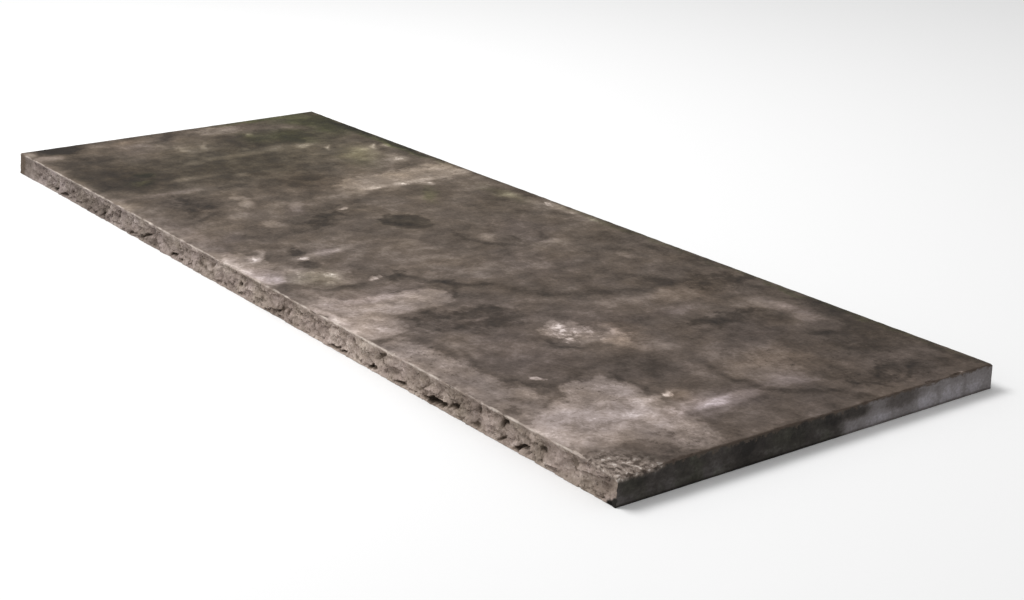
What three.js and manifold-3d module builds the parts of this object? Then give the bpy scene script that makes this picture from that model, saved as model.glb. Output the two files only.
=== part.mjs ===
// Limestone pool coping: one rectangular limestone slab, 1000 x 350 x 21 mm, for the rim of a pool.
// Its bed, back edge and two ends are sawn flat. The long front edge, over the water, is split and pitched
// to a rock face: shell-shaped scoops that meet in sharp ridges below a straight top arris, with deeper
// hollows where stone broke away at the foot. A plain drafted margin closes the left end of that edge.
// Frame: X runs along the pool, -Y faces the water and +Z is up, in millimetres. The origin is on the bed,
// at the middle of the slab's box.
import * as THREE from "three";
import { mergeVertices } from "three/addons/utils/BufferGeometryUtils.js";
import Module from "manifold-3d";

const LENGTH = 1000;
const DEPTH = 350; // from the foot of the rock face to the sawn back edge
const FRONT_THICKNESS = 21.4; // the walking face falls a little, away from the pool
const BACK_THICKNESS = 19.4;
const RIGHT_X = LENGTH / 2;
const FRONT_Y = -DEPTH / 2;

const COLUMNS = 300; // steps along the rock face
const ROWS = 8; // steps up the rock face

const ARRIS_SETBACK = 2.2; // how far the top arris lies behind the foot of the rock face
const ARRIS_BAND = 5; // the height below the arris over which the scoops die out
const FOOT_BAND = 6; // the height above the bed over which they grow to their full depth
const FOOT_RELIEF = 0.15; // how much of a scoop is left at the bed
const MARGIN_END = -452; // the drafted margin runs from the left end to here
const MARGIN_FADE = 14;
const MARGIN_RELIEF = 0.15; // how much of a scoop is left on the margin
const END_START = 484; // towards the right end the whole relief grows shallower, from here on
const END_RELIEF = 0.4; // how much of it is left at the end

const SCOOP_COUNT = 230;
const SCOOP_SEED = 20;
const SCOOP = { halfLength: [5, 17], halfHeight: [3.5, 9], depth: [0.8, 2.8], tilt: [-0.1, 0.5] };

// Hollows in the rock face: x and z of the middle, half length, half height, depth, and tilt in degrees.
const HOLLOWS = [
  [-455, 8, 3, 7, 0.8, 20],
  [-425, 2.5, 14, 1.6, 1.2, 8],
  [-407, 3, 5, 2.2, 2.4, 10],
  [-386, 2.5, 11, 1.7, 2.6, 4],
  [-366, 9, 6, 3, 1.2, 20],
  [-338, 6, 14, 1.8, 0.9, 18],
  [-290, 4, 15, 1.6, 2.2, 24],
  [-258, 12, 4.5, 3.5, 2.8, 60],
  [-222, 2, 10, 1.8, 1.6, 8],
  [-194, 6.5, 20, 1.5, 2.4, 18],
  [-139, 2, 9, 1.9, 3.2, 10],
  [-122, 1.5, 7, 1.6, 1.6, 6],
  [-84, 9, 3, 7, 1.2, 80],
  [-60, 13, 5, 3, 1.2, 20],
  [-8, 10, 3.5, 3, 3.0, 30],
  [58, 5.5, 16, 1.6, 1.8, 24],
  [76, 8.5, 4, 2.4, 1.8, 30],
  [152, 1.6, 17, 1.5, 2.8, 3],
  [178, 11, 4, 5, 0.8, 70],
  [205, 2, 7, 2, 3.4, 12],
  [214, 13, 8, 2, 1.8, 40],
  [245, 1.8, 8, 1.8, 2.2, 5],
  [276, 9, 13, 1.6, 1.2, 34],
  [291, 2.8, 19, 2.3, 4.2, 8],
  [314, 7, 8, 2.2, 2.8, 32],
  [342, 1.8, 8, 1.8, 1.8, 2],
  [344, 14, 4.5, 5.5, 1.8, 75],
  [373, 2.8, 5, 2.2, 2.0, 50],
  [375, 14.5, 7.5, 2.6, 3.2, 42],
  [394, 3, 12, 2, 3.2, 26],
  [404, 12, 3.4, 5, 1.4, 70],
  [419, 11, 2.6, 5, 2.0, 85],
  [452, 13, 8, 4, 1.2, 35],
  [486, 9, 9, 5, 1.0, 30],
];
const HOLLOW_AT_ARRIS = 0.12; // how much of a hollow is left at the arris
const LIP_HEIGHT = 1.5; // hollows stop above a thin lip of this height, along the foot
const LIP_RELIEF = 0.15; // how much of a hollow is left at the bed

// Scars where flakes left a top edge: the place along the edge, the half length, and the reach over the top.
const ARRIS_SCARS = [
  [-402, 7, 1.2],
  [-234, 9, 3.0],
  [-171, 6, 1.3],
  [-64, 8, 1.4],
  [31, 6, 1.4],
  [116, 9, 4.0],
  [163, 6, 1.5],
  [234, 10, 2.8],
  [262, 7, 2.2],
  [312, 6, 3.2],
  [345, 6, 2.4],
  [460, 14, 3.4],
];
const RIGHT_END_SCARS = [
  [-118, 14, 3.0],
  [-72, 11, 1.8],
  [-31, 13, 2.4],
  [18, 10, 2.4],
  [47, 13, 3.2],
  [84, 11, 2.2],
  [112, 10, 3.2],
  [139, 12, 2.8],
];
const SCAR_LEDGE = 0.5; // how far a scar's middle lies outside its edge, as a share of the reach
const SCAR_WIDTH = 1.5; // half the scar's ellipsoid across the edge, as a share of the reach
const SCAR_DEPTH = 1.2; // half the scar's ellipsoid in height, as a share of the reach

// Stone lost at the top of the near corner: each ellipsoid's middle and half sizes.
const CORNER_SCARS = [
  { middle: [RIGHT_X, FRONT_Y + 10, FRONT_THICKNESS + 2.6], half: [38, 34, 4.0] },
  { middle: [RIGHT_X + 1, FRONT_Y - 1, FRONT_THICKNESS + 1.5], half: [6, 5, 4.2] },
];
const SCAR_FACETS = 2; // how often the faces of a scar's icosahedron are split
const SMALLEST_STEP = 0.01; // detail finer than this is dropped from the finished solid

function thicknessAt(y) {
  return THREE.MathUtils.mapLinear(y, FRONT_Y, -FRONT_Y, FRONT_THICKNESS, BACK_THICKNESS);
}

// The same sequence of numbers from 0 to 1 for the same seed.
function seededRandom(seed) {
  let state = seed;
  return () => {
    state = (Math.imul(state, 1664525) + 1013904223) >>> 0;
    return state / 2 ** 32;
  };
}

function makeScoops() {
  const random = seededRandom(SCOOP_SEED);
  const between = ([low, high]) => low + (high - low) * random();
  return Array.from({ length: SCOOP_COUNT }, () => ({
    x: between([-LENGTH / 2, LENGTH / 2]),
    z: between([0, FRONT_THICKNESS]),
    halfLength: between(SCOOP.halfLength),
    halfHeight: between(SCOOP.halfHeight),
    depth: between(SCOOP.depth),
    tilt: between(SCOOP.tilt),
  }));
}

function makeHollows() {
  return HOLLOWS.map(([x, z, halfLength, halfHeight, depth, degrees]) => {
    const tilt = THREE.MathUtils.degToRad(degrees);
    return { x, z, halfLength, halfHeight, depth, tilt };
  });
}

const scoops = makeScoops();
const hollows = makeHollows();

// The depth of one dish-shaped scoop or hollow at a point of the rock face, 0 outside it.
function dish({ x, z, halfLength, halfHeight, depth, tilt }, pointX, pointZ) {
  const dx = pointX - x;
  const dz = pointZ - z;
  const along = (dx * Math.cos(tilt) + dz * Math.sin(tilt)) / halfLength;
  const across = (dz * Math.cos(tilt) - dx * Math.sin(tilt)) / halfHeight;
  return depth * Math.max(0, 1 - along * along - across * across);
}

// How far the rock face lies behind FRONT_Y at x and z. Where dishes overlap the deepest one shows,
// which leaves a sharp ridge between neighbours.
function recess(x, z) {
  const { smoothstep, lerp } = THREE.MathUtils;
  const scooped = Math.max(...scoops.map((scoop) => dish(scoop, x, z)));
  const hollowed = Math.max(...hollows.map((hollow) => dish(hollow, x, z)));
  const belowArris = 1 - smoothstep(z, FRONT_THICKNESS - ARRIS_BAND, FRONT_THICKNESS);
  const aboveFoot = lerp(FOOT_RELIEF, 1, smoothstep(z, 0, FOOT_BAND));
  const aboveLip = lerp(LIP_RELIEF, 1, smoothstep(z, 0, LIP_HEIGHT));
  const pastMargin = lerp(MARGIN_RELIEF, 1, smoothstep(x, MARGIN_END - MARGIN_FADE, MARGIN_END));
  const beforeEnd = lerp(1, END_RELIEF, smoothstep(x, END_START, RIGHT_X));
  const setback = ARRIS_SETBACK * (z / FRONT_THICKNESS);
  const scooping = scooped * belowArris * aboveFoot * pastMargin;
  const breaking = hollowed * Math.max(belowArris, HOLLOW_AT_ARRIS) * aboveLip;
  return (setback + scooping + breaking) * beforeEnd;
}

// The slab's box, cut into columns and rows, with its front pushed back to the rock face.
function splitSlab() {
  const box = new THREE.BoxGeometry(LENGTH, DEPTH, 1, COLUMNS, 1, ROWS);
  const corners = box.getAttribute("position");
  for (let i = 0; i < corners.count; i++) {
    const x = corners.getX(i);
    const y = corners.getY(i);
    const z = (corners.getZ(i) + 0.5) * thicknessAt(y);
    corners.setXYZ(i, x, y < 0 ? FRONT_Y + recess(x, z) : y, z);
  }
  return box;
}

// Every flake scar as the middle and half sizes of the ellipsoid of stone that is gone.
function listScars() {
  const arris = ARRIS_SCARS.map(([x, halfLength, reach]) => ({
    middle: [x, FRONT_Y + ARRIS_SETBACK - SCAR_LEDGE * reach, FRONT_THICKNESS + SCAR_LEDGE * reach],
    half: [halfLength, SCAR_WIDTH * reach, SCAR_DEPTH * reach],
  }));
  const rightEnd = RIGHT_END_SCARS.map(([y, halfLength, reach]) => ({
    middle: [RIGHT_X + SCAR_LEDGE * reach, y, thicknessAt(y) + SCAR_LEDGE * reach],
    half: [SCAR_WIDTH * reach, halfLength, SCAR_DEPTH * reach],
  }));
  return [...arris, ...rightEnd, ...CORNER_SCARS];
}

// A scar's faceted ellipsoid, turned by its own place so that no two scars have their facets alike.
function scarCutter({ middle, half }) {
  const lump = new THREE.IcosahedronGeometry(1, SCAR_FACETS);
  const [x, y] = middle;
  lump.rotateX(y).rotateZ(x);
  return lump.scale(...half).translate(...middle);
}

const wasm = await Module();
wasm.setup();

function toSolid(geometry) {
  const bare = geometry.clone();
  bare.deleteAttribute("normal");
  bare.deleteAttribute("uv");
  const merged = mergeVertices(bare, 1e-3);
  const vertProperties = new Float32Array(merged.getAttribute("position").array);
  const triVerts = new Uint32Array(merged.index.array);
  return new wasm.Manifold(new wasm.Mesh({ numProp: 3, vertProperties, triVerts }));
}

function toGeometry(solid) {
  const mesh = solid.getMesh();
  const geometry = new THREE.BufferGeometry();
  geometry.setAttribute("position", new THREE.BufferAttribute(mesh.vertProperties, mesh.numProp));
  geometry.setIndex(new THREE.BufferAttribute(mesh.triVerts, 1));
  geometry.computeVertexNormals();
  return geometry;
}

function buildCopingStone() {
  let stone = toSolid(splitSlab());
  for (const scar of listScars()) {
    stone = stone.subtract(toSolid(scarCutter(scar)));
  }
  return toGeometry(stone.simplify(SMALLEST_STEP));
}

const limestone = new THREE.MeshStandardMaterial({ color: 0x6f665e, roughness: 0.85, metalness: 0 });
const copingStone = new THREE.Mesh(buildCopingStone(), limestone);
copingStone.name = "coping_stone";

const coping = new THREE.Group();
coping.add(copingStone);

export default coping;
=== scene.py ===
import math

import bpy
import numpy as np
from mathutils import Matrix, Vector, noise
from mathutils.geometry import delaunay_2d_cdt


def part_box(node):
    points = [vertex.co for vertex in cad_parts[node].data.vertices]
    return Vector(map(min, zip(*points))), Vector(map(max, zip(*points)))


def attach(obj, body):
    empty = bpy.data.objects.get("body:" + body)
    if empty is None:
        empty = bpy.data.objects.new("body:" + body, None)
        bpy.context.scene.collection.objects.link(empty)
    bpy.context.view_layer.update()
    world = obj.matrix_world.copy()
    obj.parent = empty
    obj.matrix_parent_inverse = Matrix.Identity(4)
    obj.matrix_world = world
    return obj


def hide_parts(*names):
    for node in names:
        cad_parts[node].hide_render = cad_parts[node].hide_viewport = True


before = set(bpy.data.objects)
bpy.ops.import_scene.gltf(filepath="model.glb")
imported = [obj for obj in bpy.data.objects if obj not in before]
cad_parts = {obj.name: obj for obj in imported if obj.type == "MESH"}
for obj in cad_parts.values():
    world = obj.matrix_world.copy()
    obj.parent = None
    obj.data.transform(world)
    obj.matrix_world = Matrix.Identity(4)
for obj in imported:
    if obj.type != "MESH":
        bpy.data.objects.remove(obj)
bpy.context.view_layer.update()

# ---------------------------------------------------------------------------------------------------
# The camera: a short telephoto on a stand, a little above the slab and off its right front corner, so
# that the walking face, the rock face and the right end all show.

CAMERA_PLACE = Vector((1.3056, -0.8276, 0.4914))
CAMERA_AIM = Vector((-0.7709, 0.5487, -0.3235))
LENS = 64.05

camera = bpy.data.objects.new("camera", bpy.data.cameras.new("camera"))
camera.data.lens = LENS
camera.data.clip_end = 60
camera.location = CAMERA_PLACE
camera.rotation_euler = CAMERA_AIM.to_track_quat("-Z", "Y").to_euler()
bpy.context.scene.collection.objects.link(camera)
bpy.context.scene.camera = camera

# ---------------------------------------------------------------------------------------------------
# The coping stone: one slab of dark limestone, sawn on its bed, back and ends and honed on its walking
# face. The long edge over the water is split and pitched by hand to a rock face, which leaves scoops with
# sharp ridges between them, and flakes have left its arrises since. Sizes here are in millimetres.

MM = 0.001
FAR = 1e6
lowest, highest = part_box("coping_stone")
LEFT, FRONT = lowest.x / MM, lowest.y / MM
RIGHT, BACK, FRONT_THICKNESS = (side / MM for side in highest)
BACK_THICKNESS = 19.4

# The rock face: how far its arris lies behind its foot, over what height the scoops die out below the
# arris and at the foot, and how much of them is left there, on the drafted margin and at the right end.
ARRIS_SETBACK = 2.2
ARRIS_BAND = 5
FOOT_BAND = 6
FOOT_RELIEF = 0.15
MARGIN_END = -452
MARGIN_FADE = 14
MARGIN_RELIEF = 0.15
END_START = 484
END_RELIEF = 0.4

# The quarryman's scoops lie by chance, within these ranges.
SCOOP_COUNT = 230
SCOOP_SEED = 20
SCOOP_RANGES = ((5, 17), (3.5, 9), (0.8, 2.8), (-0.1, 0.5))  # half length, half height, depth, tilt

# Small flakes came off inside the scoops. They are drawn out along the face and lean to the right.
FLAKE_LEAN = np.array([[0.7, 0, -0.25], [0, 1, 0], [0.2, 0, 1.1]])
FLAKE_DEPTH = 0.6
FLAKES_AT_ARRIS = 0.12
FLAKES_AT_FOOT = 0.3

# Hollows where stone broke away. They come nearer to the arris, and stop above a thin lip along the foot.
HOLLOW_AT_ARRIS = 0.12
LIP_HEIGHT = 1.5
LIP_RELIEF = 0.15

# Their places: x and z of the middle, half length, half height, depth, and tilt in degrees.
HOLLOWS = (
    (-455, 8, 3, 7, 0.8, 20),
    (-425, 2.5, 14, 1.6, 1.2, 8),
    (-407, 3, 5, 2.2, 2.4, 10),
    (-386, 2.5, 11, 1.7, 2.6, 4),
    (-366, 9, 6, 3, 1.2, 20),
    (-338, 6, 14, 1.8, 0.9, 18),
    (-290, 4, 15, 1.6, 2.2, 24),
    (-258, 12, 4.5, 3.5, 2.8, 60),
    (-222, 2, 10, 1.8, 1.6, 8),
    (-194, 6.5, 20, 1.5, 2.4, 18),
    (-139, 2, 9, 1.9, 3.2, 10),
    (-122, 1.5, 7, 1.6, 1.6, 6),
    (-84, 9, 3, 7, 1.2, 80),
    (-60, 13, 5, 3, 1.2, 20),
    (-8, 10, 3.5, 3, 3.0, 30),
    (58, 5.5, 16, 1.6, 1.8, 24),
    (76, 8.5, 4, 2.4, 1.8, 30),
    (152, 1.6, 17, 1.5, 2.8, 3),
    (178, 11, 4, 5, 0.8, 70),
    (205, 2, 7, 2, 3.4, 12),
    (214, 13, 8, 2, 1.8, 40),
    (245, 1.8, 8, 1.8, 2.2, 5),
    (276, 9, 13, 1.6, 1.2, 34),
    (291, 2.8, 19, 2.3, 4.2, 8),
    (314, 7, 8, 2.2, 2.8, 32),
    (342, 1.8, 8, 1.8, 1.8, 2),
    (344, 14, 4.5, 5.5, 1.8, 75),
    (373, 2.8, 5, 2.2, 2.0, 50),
    (375, 14.5, 7.5, 2.6, 3.2, 42),
    (394, 3, 12, 2, 3.2, 26),
    (404, 12, 3.4, 5, 1.4, 70),
    (419, 11, 2.6, 5, 2.0, 85),
    (452, 13, 8, 4, 1.2, 35),
    (486, 9, 9, 5, 1.0, 30),
)


def thickness(y):
    return np.interp(y, (FRONT, BACK), (FRONT_THICKNESS, BACK_THICKNESS))


def ease(value, low, high):
    """0 below low, 1 above high and a smooth rise between them."""
    t = np.clip((value - low) / (high - low), 0, 1)
    return t * t * (3 - 2 * t)


def roughen(places, size, octaves=4):
    """Fractal noise about 0, near -1 to 1, with lumps of about this size."""
    scaled = np.asarray(places, float) / size
    return np.array([noise.fractal(Vector(p), 1.0, 2.0, octaves) for p in scaled])


def facets(places, size):
    """Flat broken facets of about this size, each tilted its own way: their height, about 0."""
    heights = []
    for place in np.asarray(places, float) / size:
        here = Vector(place)
        core = noise.voronoi(here)[1][0]
        tilt = noise.cell_vector(core * 9)
        away = here - core
        heights.append(0.5 * tilt.x + 0.9 * (away.x * tilt.y + away.z * tilt.z))
    return size * np.array(heights)


def make_scoops():
    """The quarryman's scoops, from the same sequence of numbers as the solid's."""
    state = SCOOP_SEED
    draws = []
    for _ in range(SCOOP_COUNT * 6):
        state = (state * 1664525 + 1013904223) % 2**32
        draws.append(state / 2**32)
    ranges = ((LEFT, RIGHT), (0, FRONT_THICKNESS), *SCOOP_RANGES)
    rows = np.array(draws).reshape(SCOOP_COUNT, 6)
    return [[low + (high - low) * t for t, (low, high) in zip(row, ranges)] for row in rows]


def deepest_dish(dishes, x, z):
    """The depth of the deepest of these dishes at each point of the rock face, 0 outside them all."""
    depth = np.zeros_like(x)
    for middle_x, middle_z, half_length, half_height, deep, tilt in dishes:
        dx, dz = x - middle_x, z - middle_z
        along = (dx * math.cos(tilt) + dz * math.sin(tilt)) / half_length
        across = (dz * math.cos(tilt) - dx * math.sin(tilt)) / half_height
        depth = np.maximum(depth, deep * (1 - along**2 - across**2))
    return depth


scoops = make_scoops()
hollows = [(*hollow[:5], math.radians(hollow[5])) for hollow in HOLLOWS]


def rock_face_recess(x, z):
    """How far the rock face lies behind its foremost point, and how much of that is a hollow."""
    below_arris = 1 - ease(z, FRONT_THICKNESS - ARRIS_BAND, FRONT_THICKNESS)
    above_foot = FOOT_RELIEF + (1 - FOOT_RELIEF) * ease(z, 0, FOOT_BAND)
    above_lip = LIP_RELIEF + (1 - LIP_RELIEF) * ease(z, 0, LIP_HEIGHT)
    past_margin = MARGIN_RELIEF + (1 - MARGIN_RELIEF) * ease(x, MARGIN_END - MARGIN_FADE, MARGIN_END)
    before_end = 1 + (END_RELIEF - 1) * ease(x, END_START, RIGHT)
    wall = np.column_stack([x, np.zeros_like(x), z])
    ragged_x = x + 3.0 * roughen(wall, 9, 4)
    ragged_z = z + 1.6 * roughen(wall + 50, 6, 4)
    scooping = deepest_dish(scoops, ragged_x, ragged_z) * below_arris * above_foot * past_margin
    breaking = deepest_dish(hollows, ragged_x, ragged_z)
    breaking = breaking * np.maximum(below_arris, HOLLOW_AT_ARRIS) * above_lip
    leaning = wall @ FLAKE_LEAN
    broken = 0.42 * facets(leaning, 8) + 0.4 * facets(leaning + 40, 3.6)
    flaking = FLAKE_DEPTH + broken + 0.3 * roughen(wall, 4, 5)
    flaking = flaking * np.maximum(below_arris, FLAKES_AT_ARRIS)
    flaking = flaking * np.maximum(above_lip, FLAKES_AT_FOOT) * past_margin
    setback = ARRIS_SETBACK * z / FRONT_THICKNESS
    return (setback + scooping + breaking + np.clip(flaking, 0, None)) * before_end, breaking


# The slab's skin: a wall of quads round the four edges, and a graded net of triangles over the walking
# face and the bed, finest along the rock face and the right end.
FINE_STEP = 0.9
WALL_ROWS = 23
WALLS = ("rock face", "right end", "back", "left end")

# The bands of each net, from the fine edges inward: their spacing, and where each starts and ends.
TOP_BANDS = ((0.9, 0.5, 4.2), (1.8, 4.2, 11), (3.6, 11, FAR))
BED_BANDS = ((1.8, 1.0, 5), (3.6, 5, 13), (7.2, 13, 40), (14.4, 40, FAR))


def spread(start, end, step):
    return np.linspace(start, end, round(abs(end - start) / step) + 1)[:-1]


def rim_points():
    """Points round the slab's outline, counter-clockwise from the left end of the rock face."""
    front = spread(LEFT, RIGHT, FINE_STEP)
    right = spread(FRONT, BACK, FINE_STEP)
    back = spread(RIGHT, LEFT, 4 * FINE_STEP)
    left = spread(BACK, FRONT, 2 * FINE_STEP)
    runs = (
        np.column_stack([front, np.full_like(front, FRONT)]),
        np.column_stack([np.full_like(right, RIGHT), right]),
        np.column_stack([back, np.full_like(back, BACK)]),
        np.column_stack([np.full_like(left, LEFT), left]),
    )
    return np.concatenate(runs), [len(run) for run in runs]


def net_points(bands):
    """Inner points of a face, band by band. The left end and the back need less, so they count as farther."""
    kept = []
    for spacing, start, end in bands:
        x, y = np.meshgrid(
            np.arange(LEFT + spacing, RIGHT - spacing / 2, spacing),
            np.arange(FRONT + spacing, BACK - spacing / 2, spacing),
        )
        grid = np.column_stack([x.ravel(), y.ravel()])
        gaps = (grid[:, 1] - FRONT, RIGHT - grid[:, 0], 2 * (grid[:, 0] - LEFT), 3 * (BACK - grid[:, 1]))
        distance = np.minimum.reduce(gaps)
        kept.append(grid[(distance >= start) & (distance < end)])
    return np.concatenate(kept)


def net_triangles(rim, inner):
    """Triangles over the rim's outline, through its points and the inner ones."""
    points = [Vector(p) for p in np.concatenate([rim, inner])]
    outline = [(i, (i + 1) % len(rim)) for i in range(len(rim))]
    made = delaunay_2d_cdt(points, outline, [], 1, 1e-6)
    return [list(face) for face in made[2]]


rim, wall_lengths = rim_points()
top_inner = net_points(TOP_BANDS)
bed_inner = net_points(BED_BANDS)

# The blank, as it left the saw: the walls row by row from the bed up, then the walking face and the bed.
round_count = len(rim)
levels = np.linspace(0, 1, WALL_ROWS + 1)
walls = np.concatenate([np.column_stack([rim, level * thickness(rim[:, 1])]) for level in levels])
top = np.column_stack([top_inner, thickness(top_inner[:, 1])])
bed = np.column_stack([bed_inner, np.zeros(len(bed_inner))])
blank = np.concatenate([walls, top, bed])

faces = []
sides = []
wall_names = [name for name, length in zip(WALLS, wall_lengths) for _ in range(length)]
for row in range(WALL_ROWS):
    low, high = row * round_count, (row + 1) * round_count
    for i in range(round_count):
        j = (i + 1) % round_count
        faces.append([low + i, low + j, high + j, high + i])
        sides.append(wall_names[i])
top_row = WALL_ROWS * round_count
for face in net_triangles(rim, top_inner):
    faces.append([top_row + i if i < round_count else len(walls) + i - round_count for i in face])
    sides.append("walking face")
for face in net_triangles(rim, bed_inner):
    first = len(walls) + len(top)
    faces.append([i if i < round_count else first + i - round_count for i in reversed(face)])
    sides.append("bed")

# Every point of the blank is pushed back by the relief of each edge, which fades inward from that edge.
EDGE_FADE = 18
CROWN = 0.7  # the share of the height from which the wear of the walking face begins
x, y, z = blank.T
height = z / thickness(y)


def fading(distance):
    return np.clip(1 - distance / EDGE_FADE, 0, 1) ** 2


def saw_relief(distance):
    """The shallow waves and scratches that the saw left in an edge, at each distance from that edge."""
    near = distance < EDGE_FADE
    waves = 0.12 * (1 + roughen(blank[near], 30, 3))
    scratches = 0.05 * (1 + roughen(blank[near], 3, 3))
    pushed = np.zeros(len(blank))
    pushed[near] = (waves + scratches) * fading(distance[near])
    return pushed


near_front = y - FRONT < EDGE_FADE
recess = np.zeros(len(blank))
hollow_depth = np.zeros(len(blank))
recess[near_front], hollow_depth[near_front] = rock_face_recess(x[near_front], z[near_front])
on_plan = blank * (1, 1, 0)
wear = 0.30 * (1 + roughen(on_plan, 90, 3)) + 0.05 * (1 + roughen(on_plan, 12, 3))
points = blank.copy()
points[:, 1] += recess * fading(y - FRONT) - saw_relief(BACK - y)
points[:, 0] += saw_relief(x - LEFT) - saw_relief(RIGHT - x)
points[:, 2] -= np.clip(wear, 0, None) * ease(height, CROWN, 1.0)

# What the surface shows at each point, from 0 to 1: freshly bruised, soiled, and darkened in the deep
# hollows of the rock face, partly by old grime and partly as painted shade.
fresh = np.zeros(len(points))
soiled = np.zeros(len(points))
# Painted shade with some grime: the deep hollows of the rock face are marked here to be darkened in colour.
grimy = ease(hollow_depth, 0.2, 2.4) * (y - FRONT < 1)

# The arrises are worn to a narrow uneven chamfer: axis, way inward, place of the edge, size and mark.
ARRISES = (
    (1, 1, FRONT + ARRIS_SETBACK, 1.2, fresh),
    (0, -1, RIGHT, 1.5, soiled),
    (1, -1, BACK, 0.9, soiled),
    (0, 1, LEFT, 0.9, soiled),
)
ARRIS_REACH = 3
below = thickness(points[:, 1]) - points[:, 2]
for axis, inward, edge, size, mark in ARRISES:
    behind = inward * (points[:, axis] - edge)
    near = (behind < ARRIS_REACH) & (below < ARRIS_REACH)
    chamfer = size * (1 + 0.4 * roughen(points[near], 9, 4))
    cut = np.clip((chamfer - np.clip(behind[near], 0, None) - below[near]) / 2, 0, None)
    points[near, axis] += inward * cut
    points[near, 2] -= cut
    mark[near] = np.maximum(mark[near], ease(chamfer - behind[near] - below[near], -0.8, 0.4))

# Scars where flakes left the arrises: the place along the edge, the half length, the reach over the top.
ARRIS_SCARS = (
    (-402, 7, 1.2),
    (-234, 9, 3.0),
    (-171, 6, 1.3),
    (-64, 8, 1.4),
    (31, 6, 1.4),
    (163, 6, 1.5),
    (234, 10, 2.8),
    (345, 6, 2.4),
    (460, 14, 3.4),
)
# Scars whose hollows are darkened in colour, partly by grime and partly as painted shade.
GRIME_AND_PAINTED_SHADE_SCARS = (
    (116, 9, 4.0),
    (262, 7, 2.2),
    (312, 6, 3.2),
)
RIGHT_END_SCARS = (
    (-118, 14, 3.0),
    (-72, 11, 1.8),
    (-31, 13, 2.4),
    (18, 10, 2.4),
    (47, 13, 3.2),
    (84, 11, 2.2),
    (112, 10, 3.2),
    (139, 12, 2.8),
)

# A scar is cut by an ellipsoid that stands out over its arris: these are shares of the scar's reach.
SCAR_LEDGE = 0.5
SCAR_WIDTH = 1.5
SCAR_DEPTH = 1.2


def knock_off(middle, half_sizes, inward, mark):
    """Pushes the points inside a lumpy ellipsoid inward until they lie on it, and marks them."""
    half_sizes = np.array(half_sizes)
    inward = np.array(inward)
    inside = np.where((np.abs(points - middle) < half_sizes).all(axis=1))[0]
    lumpy = 1 + 0.3 * roughen(points[inside], 5, 4)
    offset = (points[inside] - middle) / half_sizes * lumpy[:, None]
    step = inward / half_sizes
    # The way to the ellipsoid, t, solves a t^2 + 2 b t + c = 0.
    a = step @ step
    b = offset @ step
    c = (offset**2).sum(axis=1) - 1
    travel = np.where(c < 0, (-b + np.sqrt(np.maximum(b * b - a * c, 0))) / a, 0)
    points[inside] += travel[:, None] * inward
    mark[inside] = np.maximum(mark[inside], ease(-c, 0.0, 0.25))


for scars, mark in ((ARRIS_SCARS, fresh), (GRIME_AND_PAINTED_SHADE_SCARS, grimy)):
    for place, half_length, reach in scars:
        ledge = SCAR_LEDGE * reach
        middle = (place, FRONT + ARRIS_SETBACK - ledge, FRONT_THICKNESS + ledge)
        knock_off(middle, (half_length, SCAR_WIDTH * reach, SCAR_DEPTH * reach), (0, 0.7, -0.7), mark)
for place, half_length, reach in RIGHT_END_SCARS:
    ledge = SCAR_LEDGE * reach
    middle = (RIGHT + ledge, place, thickness(place) + ledge)
    knock_off(middle, (SCAR_WIDTH * reach, half_length, SCAR_DEPTH * reach), (-0.7, 0, -0.7), soiled)

# The near corner is bruised: the walking face is crushed there, and its very corner is rounded off.
BRUISE_LENGTH = 52
BRUISE_DEPTH = 48
to_corner = np.hypot((RIGHT - points[:, 0]) / BRUISE_LENGTH, (points[:, 1] - FRONT) / BRUISE_DEPTH)
shattered = ease(1 - to_corner, 0, 0.5) * ease(height, CROWN, 1)
crushed = np.where(shattered > 0)[0]
crumbs = 0.8 + 0.45 * facets(points[crushed][:, [0, 2, 1]], 4) + 0.8 * roughen(points[crushed], 6, 4)
points[crushed, 2] -= shattered[crushed] * np.clip(crumbs, 0, None)
knock_off((RIGHT + 1, FRONT - 1, FRONT_THICKNESS + 1.5), (6, 5, 4.2), (-0.55, 0.6, -0.58), fresh)

SMOOTHEST_EDGE = math.radians(45)
mesh = bpy.data.meshes.new("coping stone")
mesh.from_pydata((points * MM).tolist(), [], faces)
mesh.polygons.foreach_set("use_smooth", [True] * len(mesh.polygons))
mesh.set_sharp_from_angle(angle=SMOOTHEST_EDGE)
for name, values in (("fresh", fresh), ("soiled", soiled), ("shattered", shattered), ("grimy", grimy)):
    mesh.attributes.new(name, "FLOAT", "POINT").data.foreach_set("value", values.astype(np.float32))
stone = bpy.data.objects.new("coping_slab", mesh)
bpy.context.scene.collection.objects.link(stone)

# ---------------------------------------------------------------------------------------------------
# The walking face: honed limestone, dark brown-grey and cloudy, weathered outdoors. Pale lime stains,
# dark damp patches, fine dark veins, white bits of shell and a little green growth lie over its grain.
# Every mark on it is an oval or a stroke set at its place in millimetres, with its outline torn by noise.


class Shade:
    """A socket of a material's node. A sum, difference or product of shades adds a Math node."""

    def __init__(self, tree, socket=None):
        self.tree = tree
        self.socket = socket

    def node(self, kind, settings=None, values=None, output=0):
        """Adds a node: first its settings, then the values or links of its sockets. Gives one output."""
        made = self.tree.nodes.new("ShaderNode" + kind)
        for name, setting in (settings or {}).items():
            if name == "stops":
                fill_ramp(made.color_ramp, setting)
            else:
                setattr(made, name, setting)
        for name, value in (values or {}).items():
            if isinstance(value, Shade):
                self.tree.links.new(value.socket, made.inputs[name])
            else:
                made.inputs[name].default_value = value
        return Shade(self.tree, made.outputs[output] if made.outputs else None)

    def maths(self, operation, *terms):
        return self.node("Math", {"operation": operation}, dict(enumerate(terms)))

    def __add__(self, other):
        return self.maths("ADD", self, other)

    def __sub__(self, other):
        return self.maths("SUBTRACT", self, other)

    def __rsub__(self, other):
        return self.maths("SUBTRACT", other, self)

    def __mul__(self, other):
        return self.maths("MULTIPLY", self, other)

    __radd__ = __add__
    __rmul__ = __mul__


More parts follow.
